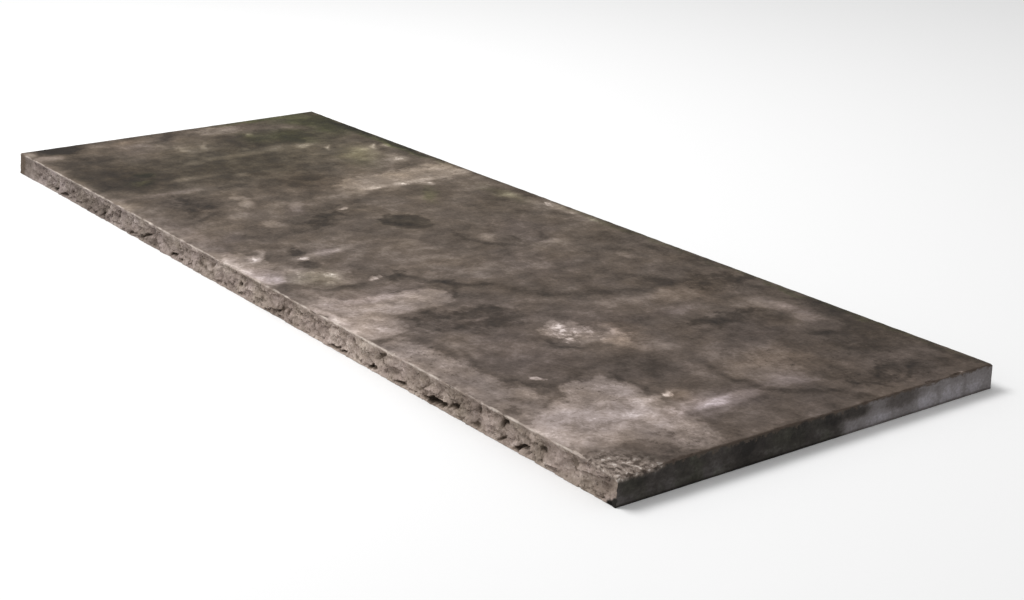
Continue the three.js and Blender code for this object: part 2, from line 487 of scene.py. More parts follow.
def fill_ramp(ramp, stops):
    while len(ramp.elements) < len(stops):
        ramp.elements.new(1.0)
    for element, (position, colour) in zip(ramp.elements, stops):
        element.position = position
        element.color = colour


def paint(red, green, blue):
    """A screen colour, 0 to 255, as the light that it stands for."""
    linear = [((c / 255 + 0.055) / 1.055) ** 2.4 for c in (red, green, blue)]
    return (*linear, 1.0)


def limit(shade):
    return shade.node("Clamp", values={"Value": shade})


def rise(shade, low, high, bottom=0.0, top=1.0):
    """Goes smoothly from bottom to top as the shade goes from low to high."""
    values = {"Value": shade, "From Min": low, "From Max": high, "To Min": bottom, "To Max": top}
    return shade.node("MapRange", {"interpolation_type": "SMOOTHSTEP"}, values)


def times(place, factors):
    return place.node("VectorMath", {"operation": "MULTIPLY"}, {0: place, 1: factors})


def clouds(place, size, detail=2.0, coarseness=0.55, stretch=(1, 1, 1)):
    """Fractal noise about 0, with lumps of this size in millimetres."""
    scaled = times(place, [1 / (size * s) for s in stretch])
    values = {"Vector": scaled, "Scale": 1.0, "Detail": detail, "Roughness": coarseness}
    return place.node("TexNoise", values=values) - 0.5


def drift(place, size, reach, detail=2.0):
    """The place moved about by noise, so that what is drawn there gets a natural, ragged outline."""
    values = {"Vector": times(place, [1 / size] * 3), "Scale": 1.0, "Detail": detail}
    colour = place.node("TexNoise", values=values, output="Color")
    centred = place.node("VectorMath", {"operation": "SUBTRACT"}, {0: colour, 1: (0.5, 0.5, 0.5)})
    wander = times(centred, (reach, reach, 0))
    return place.node("VectorMath", {"operation": "ADD"}, {0: place, 1: wander})


def separate(place):
    made = place.node("SeparateXYZ", values={0: place})
    return [Shade(place.tree, socket) for socket in made.socket.node.outputs]


def ovals(place, rows):
    """The sum of ovals: x and y of the middle, half length, half width, turn, firmness and strength.

    An oval is at its full strength over as much of its size as its firmness says, and fades from there.
    The sum rides in the place's height, one oval after another, because a shader can't hold them all at once.
    """
    for x, y, half_length, half_width, turn, firmness, strength in rows:
        values = {
            "Vector": place,
            "Location": (x, y, 0),
            "Rotation": (0, 0, math.radians(turn)),
            "Scale": (half_length, half_width, FAR),
        }
        inside = place.node("Mapping", {"vector_type": "TEXTURE"}, values)
        away = inside.node("VectorMath", {"operation": "LENGTH"}, {0: inside}, output="Value")
        mark = rise(away, firmness, 1.25 - 0.2 * firmness, strength, 0)
        place = place.node("VectorMath", {"operation": "MULTIPLY_ADD"}, {0: mark, 1: (0, 0, 1), 2: place})
    return separate(place)[2]


def strokes(place, paths):
    """The sum of lines along paths: each is a width, a strength and its corners."""
    rows = []
    for width, strength, *corners in paths:
        for (x0, y0), (x1, y1) in zip(corners, corners[1:]):
            turn = math.degrees(math.atan2(y1 - y0, x1 - x0))
            half = math.dist((x0, y0), (x1, y1)) / 2 + width / 2
            rows.append(((x0 + x1) / 2, (y0 + y1) / 2, half, width / 2, turn, 0.1, strength))
    return ovals(place, rows)


def mingle(under, over, share, blend="MIX"):
    """One colour laid over another, as far as share says."""
    home = next(part for part in (under, over, share) if isinstance(part, Shade))
    settings = {"data_type": "RGBA", "blend_type": blend}
    # A Mix node takes its colours at sockets 6 and 7, and gives the mixed colour at output 2.
    return home.node("Mix", settings, {0: share, 6: under, 7: over}, output=2)


def tint(colour, factors, share):
    """The colour multiplied by factors of red, green and blue, as far as share says."""
    return mingle(colour, (*factors, 1), share, "MULTIPLY")


def attribute(place, name):
    return place.node("Attribute", {"attribute_name": name}, output="Fac")


def new_material(name):
    """A material with no nodes but the place on the stone, in millimetres."""
    material = bpy.data.materials.new(name)
    material.use_nodes = True
    material.node_tree.nodes.clear()
    here = Shade(material.node_tree).node("TexCoord", output="Object")
    return material, times(here, (1 / MM, 1 / MM, 1 / MM))


def finish_surface(colour, roughness, relief, depth):
    """The dull surface of the stone, with a fine relief of this depth in metres."""
    bump = relief.node("Bump", values={"Strength": 1.0, "Distance": depth, "Height": relief})
    values = {"Base Color": colour, "Roughness": roughness, "Normal": bump, "Specular IOR Level": 0.2}
    surface = colour.node("BsdfPrincipled", values=values)
    surface.node("OutputMaterial", values={"Surface": surface})


# The stone's own colours, from its darkest damp to its whitest shell, and where its honed face lies in them.
LIMESTONE = (
    (0.00, paint(34, 27, 21)),
    (0.22, paint(60, 51, 42)),
    (0.45, paint(92, 81, 71)),
    (0.68, paint(130, 118, 107)),
    (0.86, paint(170, 157, 147)),
    (1.00, paint(216, 205, 195)),
)
HONED_TONE = 0.392

# Pools of pale lime, which join up where they overlap and end in a ragged edge.
LIME = (
    (-474, 45, 26, 46, 0, 0.3, 0.70),
    (-192, 56, 36, 34, 0, 0.2, 0.80),
    (-192, 148, 42, 44, 0, 0.2, 0.70),
    (-190, 96, 38, 54, 0, 0.2, 0.95),
    (-26, -160, 38, 24, 0, 0.5, 0.90),
    (20, -164, 30, 20, 0, 0.5, 0.95),
    (136, -98, 32, 44, 0, 0.6, 1.00),
    (142, -152, 58, 30, 0, 0.6, 1.00),
    (176, -156, 28, 32, 0, 0.6, 1.00),
    (266, -38, 28, 22, 0, 0.5, 1.00),
    (270, -158, 74, 25, 0, 0.4, 0.85),
    (298, -13, 28, 21, -30, 0.3, 0.80),
    (350, -150, 48, 26, 0, 0.4, 0.72),
    (380, -91, 32, 28, 0, 0.6, 1.00),
    (408, -104, 40, 40, 0, 0.6, 1.00),
    (424, -138, 44, 52, 0, 0.6, 1.00),
    (445, -84, 28, 22, 0, 0.5, 0.85),
    (474, -96, 34, 32, 0, 0.4, 0.66),
)

# Pools of dark damp, with the same kind of edge.
DAMP = (
    (-480, -132, 24, 20, 0, 0.2, 0.60),
    (-340, -104, 12, 9, -10, 0.3, 0.90),
    (-215, -118, 54, 26, 0, 0.1, 0.60),
    (-102, -38, 42, 19, -38, 0.3, 0.60),
    (-55, 21, 32, 24, 0, 0.5, 1.10),
    (-29, -106, 15, 8, 0, 0.3, 0.90),
    (10, -115, 16, 13, 0, 0.4, 0.90),
    (79, -70, 24, 13, -30, 0.3, 0.60),
    (189, -100, 33, 34, 0, 0.5, 0.52),
    (208, -62, 34, 28, 0, 0.5, 0.82),
    (222, -90, 24, 28, 0, 0.3, 0.40),
    (240, 140, 28, 40, 0, 0.2, 0.80),
    (312, 84, 18, 48, 0, 0.2, 0.80),
)

# Straight pale streaks, where water ran across the slab.
STREAKS = (
    (-362, 8, 11, 72, 0, 0.1, 0.10),
    (-304, -70, 9, 40, 0, 0.1, 0.17),
    (-268, -134, 14, 38, 0, 0.1, 0.05),
    (-265, -90, 12, 36, 0, 0.1, 0.13),
    (-172, 100, 9, 76, 0, 0.2, 0.09),
    (-170, 38, 8, 34, 0, 0.1, 0.09),
    (-14, -88, 9, 28, 0, 0.1, 0.24),
    (424, -140, 26, 50, 0, 0.5, 0.09),
    (438, -52, 13, 28, -3, 0.3, 0.22),
    (441, -26, 10, 36, 0, 0.4, 0.25),
)

# Soft pale clouds.
PALE = (
    (-486, -167, 16, 7, 0, 0.2, 0.27),
    (-478, -62, 20, 34, 0, 0.1, 0.10),
    (-478, 50, 22, 42, 0, 0.1, 0.08),
    (-461, -55, 12, 10, 0, 0.1, 0.08),
    (-460, -155, 12, 22, 0, 0.1, 0.28),
    (-458, -104, 34, 9, -12, 0.1, 0.09),
    (-444, 104, 14, 22, 0, 0.1, 0.11),
    (-442, -38, 13, 8, -10, 0.1, 0.14),
    (-437, 60, 11, 6, -20, 0.1, 0.24),
    (-436, -66, 42, 32, 0, 0.3, 0.13),
    (-430, -12, 46, 26, -20, 0.1, 0.13),
    (-415, -4, 20, 5, -32, 0.1, 0.16),
    (-412, -28, 14, 4, -30, 0.1, 0.12),
    (-377, 155, 10, 10, 0, 0.1, 0.08),
    (-372, 54, 16, 24, 0, 0.1, 0.09),
    (-362, 86, 12, 13, 0, 0.1, 0.24),
    (-358, -42, 10, 12, 0, 0.1, 0.10),
    (-342, 103, 14, 4, -30, 0.1, 0.20),
    (-328, 120, 10, 8, 0, 0.1, 0.07),
    (-318, 146, 15, 5, -35, 0.1, 0.20),
    (-316, -120, 8, 14, 20, 0.1, 0.16),
    (-311, 160, 9, 8, 0, 0.1, 0.28),
    (-300, 122, 54, 24, -15, 0.1, 0.16),
    (-290, -20, 12, 10, 0, 0.1, 0.20),
    (-272, -161, 12, 10, 0, 0.1, 0.10),
    (-262, 140, 28, 14, -20, 0.1, 0.22),
    (-236, -168, 40, 12, 0, 0.1, 0.08),
    (-225, -20, 18, 14, 0, 0.1, 0.05),
    (-217, 166, 12, 6, 0, 0.1, 0.10),
    (-214, -64, 13, 10, 0, 0.1, 0.22),
    (-205, 100, 44, 78, 0, 0.1, 0.07),
    (-190, -70, 17, 9, -20, 0.1, 0.22),
    (-186, 46, 16, 22, 0, 0.1, 0.04),
    (-184, 162, 24, 20, 0, 0.1, 0.09),
    (-178, -52, 26, 20, 0, 0.1, 0.03),
    (-176, -152, 22, 10, 0, 0.1, 0.10),
    (-173, 165, 12, 8, 0, 0.1, 0.10),
    (-172, 12, 12, 20, 0, 0.1, 0.05),
    (-170, -160, 90, 14, 0, 0.1, 0.09),
    (-168, 110, 13, 50, 0, 0.1, 0.09),
    (-165, -92, 30, 12, -20, 0.1, 0.12),
    (-161, -31, 12, 12, 0, 0.1, 0.10),
    (-160, 30, 12, 18, 0, 0.1, 0.07),
    (-158, 60, 8, 16, 0, 0.1, 0.08),
    (-157, 109, 11, 11, 0, 0.1, 0.20),
    (-155, -36, 30, 9, -42, 0.1, 0.10),
    (-151, -63, 14, 12, 0, 0.1, 0.09),
    (-140, 150, 62, 26, 0, 0.1, 0.09),
    (-128, -158, 22, 12, 0, 0.1, 0.06),
    (-115, -80, 14, 10, 0, 0.1, 0.18),
    (-110, -168, 36, 6, 0, 0.3, 0.08),
    (-110, -140, 56, 34, 0, 0.1, 0.09),
    (-105, 40, 26, 22, 0, 0.1, 0.08),
    (-75, 152, 18, 11, -10, 0.1, 0.22),
    (-40, -65, 44, 40, 0, 0.2, 0.055),
    (-40, 156, 24, 10, 0, 0.1, 0.05),
    (-38, -142, 22, 6, -25, 0.1, 0.26),
    (-30, -164, 70, 15, 0, 0.1, 0.15),
    (-28, 164, 12, 8, 0, 0.1, 0.10),
    (-24, -80, 24, 20, 0, 0.1, 0.06),
    (-20, 86, 30, 22, 0, 0.1, 0.07),
    (-20, 166, 46, 8, -10, 0.1, 0.14),
    (-17, -133, 12, 10, 0, 0.1, 0.08),
    (-13, -116, 9, 10, 0, 0.1, 0.11),
    (0, -171, 60, 8, 0, 0.1, 0.07),
    (4, -140, 24, 9, 0, 0.1, 0.18),
    (7, -147, 10, 9, 0, 0.1, 0.08),
    (16, 156, 84, 18, 0, 0.1, 0.11),
    (25, 57, 24, 12, 0, 0.1, 0.15),
    (34, -140, 22, 9, -15, 0.1, 0.06),
    (34, 168, 10, 6, 0, 0.1, 0.18),
    (36, -163, 30, 14, 0, 0.1, 0.09),
    (40, -125, 38, 34, 0, 0.1, 0.20),
    (45, -114, 12, 10, 0, 0.1, 0.06),
    (47, -136, 10, 10, 0, 0.1, 0.08),
    (55, -12, 90, 52, 0, 0.1, 0.06),
    (62, -32, 22, 26, 0, 0.1, 0.03),
    (68, -112, 12, 14, 0, 0.1, 0.08),
    (70, 102, 10, 15, -30, 0.1, 0.10),
    (72, -146, 14, 22, 0, 0.1, 0.07),
    (78, 156, 20, 12, 0, 0.1, 0.07),
    (90, -122, 8, 14, 0, 0.1, 0.12),
    (90, 80, 80, 44, 0, 0.1, 0.05),
    (91, -168, 14, 7, 0, 0.1, 0.09),
    (104, -126, 9, 12, 0, 0.1, 0.08),
    (110, -156, 42, 24, 0, 0.1, 0.07),
    (112, -108, 20, 48, 0, 0.1, 0.10),
    (125, 38, 20, 26, 0, 0.1, 0.08),
    (133, -168, 14, 7, 0, 0.1, 0.10),
    (134, -92, 20, 32, 0, 0.1, 0.09),
    (142, 125, 14, 9, 0, 0.1, 0.14),
    (143, -153, 12, 10, 0, 0.1, 0.07),
    (144, -134, 12, 34, 0, 0.1, 0.11),
    (146, -167, 22, 9, 0, 0.1, 0.14),
    (172, -154, 30, 24, 0, 0.1, 0.07),
    (172, -20, 20, 20, 0, 0.1, 0.06),
    (196, -168, 12, 6, 0, 0.1, 0.07),
    (205, -80, 5, 12, 20, 0.1, 0.22),
    (225, -124, 50, 9, 0, 0.1, 0.08),
    (226, -60, 5, 8, 20, 0.1, 0.12),
    (228, -154, 36, 20, 0, 0.1, 0.10),
    (229, -138, 12, 10, 0, 0.1, 0.08),
    (238, -112, 26, 22, 0, 0.1, 0.11),
    (238, 60, 16, 56, -8, 0.1, 0.10),
    (244, 12, 34, 30, 0, 0.1, 0.07),
    (246, 92, 14, 26, 0, 0.1, 0.07),
    (262, -122, 24, 14, 0, 0.1, 0.14),
    (268, -98, 30, 24, 0, 0.1, 0.12),
    (272, 62, 14, 30, 0, 0.1, 0.11),
    (278, -6, 16, 14, 0, 0.1, 0.09),
    (294, -32, 9, 12, 0, 0.1, 0.21),
    (300, 129, 24, 10, 0, 0.1, 0.16),
    (304, -14, 28, 18, -30, 0.1, 0.05),
    (323, 139, 45, 13, 0, 0.1, 0.22),
    (325, -42, 24, 22, 0, 0.1, 0.08),
    (326, -6, 28, 20, 0, 0.1, 0.13),
    (328, -69, 12, 12, 0, 0.1, 0.08),
    (369, -131, 12, 10, 0, 0.1, 0.10),
    (375, 20, 30, 16, 0, 0.1, 0.06),
    (375, 152, 8, 9, 0, 0.1, 0.08),
    (384, -90, 22, 22, 0, 0.2, 0.07),
    (400, 12, 110, 18, 0, 0.1, 0.05),
    (400, 50, 32, 36, -35, 0.3, 0.10),
    (402, -135, 20, 40, 0, 0.1, 0.09),
    (412, -82, 14, 16, 0, 0.1, 0.06),
    (420, -165, 36, 16, 0, 0.1, 0.07),
    (420, -49, 10, 7, 0, 0.1, 0.12),
    (424, -104, 12, 12, 0, 0.1, 0.05),
    (424, -62, 12, 8, 0, 0.1, 0.13),
    (424, 40, 26, 24, 0, 0.1, 0.06),
    (428, -34, 14, 30, 0, 0.1, 0.10),
    (430, -88, 26, 20, 0, 0.2, 0.10),
    (434, 16, 20, 20, 0, 0.1, 0.08),
    (440, 38, 18, 24, 0, 0.1, 0.11),
    (446, -150, 10, 24, 0, 0.1, 0.06),
    (453, -50, 9, 32, 0, 0.1, 0.10),
    (462, -34, 14, 22, 0, 0.1, 0.09),
    (470, -130, 12, 10, 0, 0.1, 0.09),
    (470, 100, 9, 4, 0, 0.1, 0.12),
    (493, 5, 8, 16, 0, 0.1, 0.10),
)

# Soft dark clouds.
DARK = (
    (-493, -141, 13, 20, 0, 0.3, 0.19),
    (-492, -60, 11, 16, 0, 0.2, 0.14),
    (-488, 166, 18, 12, 0, 0.1, 0.10),
    (-482, -136, 26, 42, 0, 0.1, 0.24),
    (-476, -16, 28, 9, -15, 0.1, 0.07),
    (-470, 145, 36, 28, 0, 0.2, 0.13),
    (-462, -130, 16, 10, 0, 0.1, 0.08),
    (-450, 160, 60, 14, 0, 0.1, 0.09),
    (-440, 44, 13, 32, 0, 0.1, 0.09),
    (-430, 152, 36, 26, 0, 0.1, 0.09),
    (-420, 66, 32, 17, -20, 0.1, 0.16),
    (-415, 98, 40, 26, 0, 0.2, 0.17),
    (-405, 40, 52, 24, 0, 0.2, 0.13),
    (-400, -132, 58, 34, 0, 0.2, 0.16),
    (-400, 0, 150, 260, 0, 0.2, 0.045),
    (-395, 124, 60, 12, 0, 0.1, 0.05),
    (-390, 80, 18, 36, 0, 0.2, 0.09),
    (-390, 168, 90, 9, 0, 0.3, 0.13),
    (-365, -84, 44, 16, 0, 0.1, 0.09),
    (-360, -160, 90, 18, 0, 0.1, 0.09),
    (-334, 34, 22, 34, 0, 0.1, 0.13),
    (-325, -126, 52, 50, 0, 0.1, 0.28),
    (-325, 171, 180, 5, 0, 0.3, 0.16),
    (-324, -90, 24, 20, 0, 0.1, 0.07),
    (-320, -20, 46, 64, 0, 0.2, 0.12),
    (-320, 156, 16, 9, 0, 0.2, 0.12),
    (-290, -60, 36, 50, 0, 0.2, 0.08),
    (-285, 50, 50, 40, 0, 0.1, 0.07),
    (-258, -142, 12, 22, 0, 0.1, 0.07),
    (-257, -45, 10, 12, 0, 0.1, 0.08),
    (-246, -30, 18, 30, 0, 0.1, 0.07),
    (-240, 10, 40, 44, 0, 0.1, 0.15),
    (-236, 142, 12, 18, 0, 0.1, 0.06),
    (-228, -112, 46, 38, 0, 0.1, 0.10),
    (-214, -150, 12, 10, 0, 0.1, 0.07),
    (-206, 140, 12, 10, 0, 0.1, 0.06),
    (-186, -30, 20, 26, 0, 0.1, 0.03),
    (-185, 2, 26, 24, 0, 0.1, 0.09),
    (-180, -133, 10, 8, 0, 0.1, 0.06),
    (-150, 80, 10, 40, 0, 0.2, 0.05),
    (-150, 150, 10, 12, 0, 0.1, 0.06),
    (-148, 32, 12, 40, 25, 0.1, 0.11),
    (-119, -150, 12, 12, 0, 0.1, 0.07),
    (-110, -50, 50, 20, -38, 0.1, 0.03),
    (-93, -119, 14, 14, 0, 0.1, 0.10),
    (-87, -148, 14, 14, 0, 0.1, 0.08),
    (-86, -115, 16, 14, 0, 0.1, 0.10),
    (-62, 118, 40, 28, -35, 0.2, 0.06),
    (-60, 70, 46, 22, 0, 0.1, 0.03),
    (-55, 20, 26, 18, 0, 0.1, 0.05),
    (8, 150, 12, 12, 0, 0.1, 0.10),
    (12, 155, 26, 9, 0, 0.2, 0.10),
    (34, 151, 12, 9, 0, 0.1, 0.08),
    (50, -12, 12, 10, 0, 0.1, 0.06),
    (55, -164, 12, 14, 0, 0.5, 0.10),
    (77, -120, 8, 30, 0, 0.1, 0.06),
    (92, 146, 30, 22, 0, 0.2, 0.06),
    (94, -73, 12, 9, 0, 0.1, 0.08),
    (102, -32, 20, 20, 0, 0.1, 0.10),
    (112, -102, 9, 18, 0, 0.1, 0.06),
    (120, 171, 80, 5, 0, 0.3, 0.05),
    (128, 124, 24, 18, 0, 0.1, 0.07),
    (145, 157, 32, 9, 0, 0.2, 0.10),
    (156, 168, 14, 8, 0, 0.1, 0.14),
    (178, 158, 24, 18, 0, 0.1, 0.11),
    (180, 92, 18, 14, 0, 0.1, 0.06),
    (186, -137, 13, 12, 0, 0.1, 0.12),
    (186, 85, 12, 10, 0, 0.1, 0.05),
    (202, 134, 18, 14, 0, 0.1, 0.08),
    (212, -56, 24, 12, 0, 0.1, 0.05),
    (212, 100, 16, 26, 0, 0.2, 0.19),
    (214, 72, 10, 14, 0, 0.1, 0.05),
    (219, -33, 10, 8, 0, 0.1, 0.05),
    (232, -22, 32, 12, 30, 0.1, 0.11),
    (232, 120, 26, 18, 0, 0.1, 0.06),
    (256, 157, 20, 9, 0, 0.2, 0.10),
    (262, 20, 26, 34, 0, 0.1, 0.06),
    (273, -168, 20, 8, 0, 0.1, 0.10),
    (326, 118, 26, 12, 0, 0.1, 0.06),
    (329, 64, 12, 14, 0, 0.1, 0.09),
    (330, 171, 150, 4, 0, 0.3, 0.05),
    (336, -131, 28, 6, 15, 0.2, 0.05),
    (338, 88, 36, 40, 0, 0.2, 0.07),
    (346, -160, 12, 10, 0, 0.1, 0.12),
    (350, 164, 54, 14, 0, 0.1, 0.16),
    (352, -94, 8, 14, 0, 0.2, 0.10),
    (354, 62, 18, 26, 0, 0.1, 0.09),
    (362, -32, 44, 26, -10, 0.3, 0.10),
    (365, 75, 12, 12, 0, 0.1, 0.08),
    (372, -146, 30, 28, 0, 0.1, 0.05),
    (374, 92, 30, 18, 0, 0.1, 0.11),
    (385, 130, 9, 30, -35, 0.2, 0.08),
    (385, 160, 26, 14, 0, 0.1, 0.06),
    (401, -5, 16, 7, 0, 0.1, 0.08),
    (405, 128, 46, 46, 0, 0.3, 0.11),
    (407, -94, 8, 14, 0, 0.1, 0.05),
    (425, 122, 12, 16, 0, 0.1, 0.07),
    (440, 68, 30, 20, 0, 0.2, 0.06),
    (440, 154, 50, 20, 0, 0.1, 0.06),
    (462, 168, 22, 7, 0, 0.1, 0.15),
    (468, 112, 18, 52, -15, 0.2, 0.16),
    (474, 84, 26, 34, 0, 0.1, 0.09),
    (478, -68, 20, 7, 0, 0.3, 0.05),
    (482, -112, 14, 14, 0, 0.1, 0.08),
    (484, 16, 20, 26, 0, 0.1, 0.05),
)

# White bits of shell and spar, each a cluster of small ovals.
SHELL = (
    (-437, 59, 10, 4, -30, 0.1, 0.35),
    (-362, 88, 10, 12, 0, 0.1, 0.42),
    (-340, 103, 13, 4, -30, 0.1, 0.55),
    (-318, 147, 15, 4, -35, 0.1, 0.52),
    (-311, 160, 9, 7, 0, 0.1, 0.45),
    (-258, 141, 16, 9, -25, 0.1, 0.50),
    (-212, -62, 10, 6, 0, 0.1, 0.30),
    (-185, -70, 12, 5, -20, 0.1, 0.30),
    (-170, 60, 6, 14, 0, 0.1, 0.35),
    (-168, 90, 12, 7, 0, 0.1, 0.60),
    (-155, 114, 13, 5, -20, 0.1, 0.55),
    (-126, -3, 6, 9, 20, 0.2, 0.85),
    (-113, -8, 9, 4, -25, 0.1, 0.50),
    (-71, 157, 12, 4, -25, 0.1, 0.34),
    (-30, -146, 12, 4, -25, 0.1, 0.50),
    (-30, 165, 18, 5, -20, 0.2, 0.65),
    (-15, 151, 8, 4, 0, 0.1, 0.32),
    (-10, 168, 10, 3.5, -20, 0.1, 0.46),
    (-8, -111, 7, 9, 25, 0.2, 0.90),
    (9, 165, 9, 4, -20, 0.1, 0.52),
    (28, -122, 6, 9, 0, 0.1, 0.40),
    (32, -138, 16, 6, -20, 0.1, 0.42),
    (38, 167, 14, 4, -10, 0.1, 0.46),
    (43, -115, 12, 9, 0, 0.1, 0.60),
    (48, -98, 9, 4, -20, 0.1, 0.48),
    (54, -145, 10, 5, 10, 0.1, 0.40),
    (62, -125, 10, 6, -15, 0.1, 0.55),
    (71, -88, 7, 12, 25, 0.2, 0.85),
    (254, -36, 12, 11, 0, 0.1, 0.28),
    (266, -40, 26, 20, 0, 0.1, 0.52),
    (276, -22, 16, 6, -20, 0.1, 0.56),
    (285, -48, 15, 9, 15, 0.1, 0.42),
    (302, -10, 14, 8, -40, 0.1, 0.22),
    (334, -115, 10, 5.5, 30, 0.2, 1.00),
    (411, -57, 8, 6, -40, 0.2, 1.00),
    (424, -105, 9, 8, 0, 0.1, 0.28),
    (454, 126, 8, 3, -35, 0.1, 0.34),
    (470, 100, 8, 3, -30, 0.1, 0.36),
    (484, 118, 7, 3, -30, 0.1, 0.36),
    (499, 143, 5, 5, 0, 0.2, 0.80),
)

# Fine dark veins and the rims of the damp pools: width, strength and corners.
VEINS = (
    (9, 0.10, (-186, -100), (-168, -122), (-160, -138)),
    (7, 0.12, (-140, 4), (-132, -12), (-118, -17), (-102, -10)),
    (7, 0.08, (-88, -22), (-72, -60)),
    (8, 0.10, (28, 76), (62, 72)),
    (12, 0.12, (40, 108), (60, 88), (66, 66), (52, 50), (28, 40), (0, 38)),
    (10, 0.13, (62, -66), (100, -64), (113, -46), (124, -44), (143, -56), (156, -68)),
    (8, 0.10, (77, -104), (77, -134), (64, -152), (46, -154)),
    (16, 0.12, (140, -22), (128, -40), (104, -54), (84, -66)),
    (7, 0.08, (158, -128), (190, -134), (215, -128)),
    (20, 0.09, (224, 76), (209, 45), (195, 15), (182, 0), (160, -12), (140, -22)),
    (10, 0.10, (250, -122), (270, -130), (300, -137), (330, -133), (360, -112)),
    (7, 0.14, (270, -58), (290, -64), (302, -50)),
    (8, 0.12, (352, -66), (400, -64)),
    (9, 0.09, (372, 160), (386, 135), (376, 108)),
    (6, 0.15, (448, 106), (460, 97), (474, 84)),
    (6, 0.16, (462, 132), (476, 116), (486, 96)),
    (5, 0.13, (488, 80), (474, 74), (464, 60)),
    (13, 0.13, (500, -124), (480, -146), (464, -174)),
    (11, 0.15, (500, 58), (473, 46), (458, 22), (443, 5), (402, 0), (380, 4)),
)

# Tints, as factors of red, green and blue, and where each lies: green growth, a lavender cast and a warm
# beige one. Two more lie by chance and towards the near corner.
GREEN_TINT = (0.81, 1.01, 0.62)
LAVENDER_TINT = (0.98, 0.975, 1.035)
BEIGE_TINT = (1.06, 1.0, 0.90)
YELLOW_TINT = (1.03, 1.0, 0.93)
BLUE_TINT = (1.0, 0.99, 1.08)
GREEN = (
    (-494, 110, 10, 70, 0, 0.3, 0.90),
    (-478, 120, 24, 30, 0, 0.1, 0.50),
    (-465, 148, 36, 30, 0, 0.2, 1.00),
    (-424, 152, 54, 26, -15, 0.1, 1.00),
    (-420, 58, 34, 20, 0, 0.1, 0.60),
    (-412, 96, 42, 34, 0, 0.2, 0.85),
    (-375, 112, 24, 26, 0, 0.1, 0.25),
    (-350, 168, 150, 9, 0, 0.3, 0.90),
    (-345, 20, 120, 190, 0, 0.1, 0.22),
    (-340, -104, 14, 11, 0, 0.1, 0.90),
    (-316, -122, 16, 18, 0, 0.1, 0.70),
    (-290, 112, 60, 26, -20, 0.1, 0.35),
    (-118, 92, 34, 10, -25, 0.1, 0.60),
    (-80, 150, 44, 14, 0, 0.1, 0.35),
    (-55, 20, 30, 24, 0, 0.1, 0.15),
    (45, -128, 34, 26, 0, 0.1, 0.20),
    (90, 169, 120, 6, 0, 0.3, 0.35),
    (340, 170, 170, 5, 0, 0.3, 0.50),
)
LAVENDER = (
    (-476, -16, 28, 12, -15, 0.1, 0.70),
    (-476, 70, 18, 20, 0, 0.1, 0.60),
    (-465, -60, 22, 40, 0, 0.1, 0.50),
    (-460, -155, 14, 22, 0, 0.1, 0.90),
    (-445, 104, 16, 26, 0, 0.1, 0.90),
    (-430, -68, 44, 30, 0, 0.2, 1.00),
    (-265, -116, 16, 60, 0, 0.1, 0.90),
    (-215, -120, 50, 26, 0, 0.1, 0.50),
    (-152, -38, 30, 14, -35, 0.1, 1.00),
    (-120, -160, 100, 16, 0, 0.1, 0.80),
    (-95, -134, 28, 16, -20, 0.1, 0.90),
    (-14, -85, 16, 16, 0, 0.1, 1.00),
    (20, -162, 34, 15, 0, 0.4, 1.00),
    (25, 98, 48, 34, 0, 0.3, 0.90),
    (110, 45, 70, 40, 0, 0.1, 0.50),
    (112, -110, 22, 56, 0, 0.1, 0.90),
    (215, -70, 60, 50, 0, 0.1, 0.50),
    (262, 0, 40, 40, 0, 0.2, 0.50),
    (275, 66, 16, 30, 0, 0.1, 0.80),
    (295, -92, 60, 40, 0, 0.2, 0.60),
    (330, 138, 50, 14, 0, 0.1, 0.80),
    (345, 80, 40, 40, 0, 0.2, 0.40),
    (440, 35, 18, 22, 0, 0.1, 0.80),
    (441, -30, 22, 60, 0, 0.2, 1.00),
)
BEIGE = (
    (-480, -62, 16, 30, 0, 0.1, 0.60),
    (-350, -122, 76, 40, 0, 0.1, 0.60),
    (-325, -30, 60, 100, 0, 0.1, 0.25),
    (-300, 115, 45, 25, -15, 0.1, 0.50),
    (-240, 10, 60, 44, 0, 0.2, 0.70),
    (-195, 90, 40, 84, 0, 0.2, 0.30),
    (140, -152, 60, 36, 0, 0.2, 0.30),
    (244, 110, 28, 60, 0, 0.2, 0.60),
    (303, -8, 36, 22, -20, 0.1, 1.00),
    (402, 52, 34, 40, -35, 0.2, 0.55),
    (418, -52, 18, 12, 0, 0.1, 0.60),
)

# Ground weathered into fine pits.
PITTED = (
    (45, -125, 36, 32, 0, 0.2, 0.70),
    (265, -154, 66, 22, 0, 0.3, 1.00),
    (270, -38, 30, 24, 0, 0.3, 0.80),
    (380, -92, 36, 28, 0, 0.3, 0.90),
    (402, 50, 32, 38, -35, 0.3, 0.90),
    (440, 120, 60, 50, 0, 0.2, 0.50),
    (474, 96, 26, 44, -15, 0.2, 1.00),
    (476, -100, 34, 40, 0, 0.2, 0.80),
)


def pools(place, rows, raggedness):
    """From 0 outside the joined ovals to 1 inside: part of it softly, part at a crisp edge, both torn."""
    field = ovals(place, rows) + raggedness
    return 0.4 * rise(field, 0.28, 0.7) + 0.6 * rise(field, 0.05, 1.15)


BRUISED_WHITE = paint(190, 177, 166)
EDGE_DIRT = paint(66, 55, 47)
DARK_DUST = paint(72, 61, 53)
PALE_DUST = paint(154, 140, 130)
WHITE_CRUMBS = paint(214, 203, 194)


def bruise(colour, place, white):
    """Whitens the arris where it was knocked."""
    bruised = limit(attribute(place, "fresh") * (0.45 + 4 * clouds(place, 11, 4)))
    return mingle(colour, white, bruised)


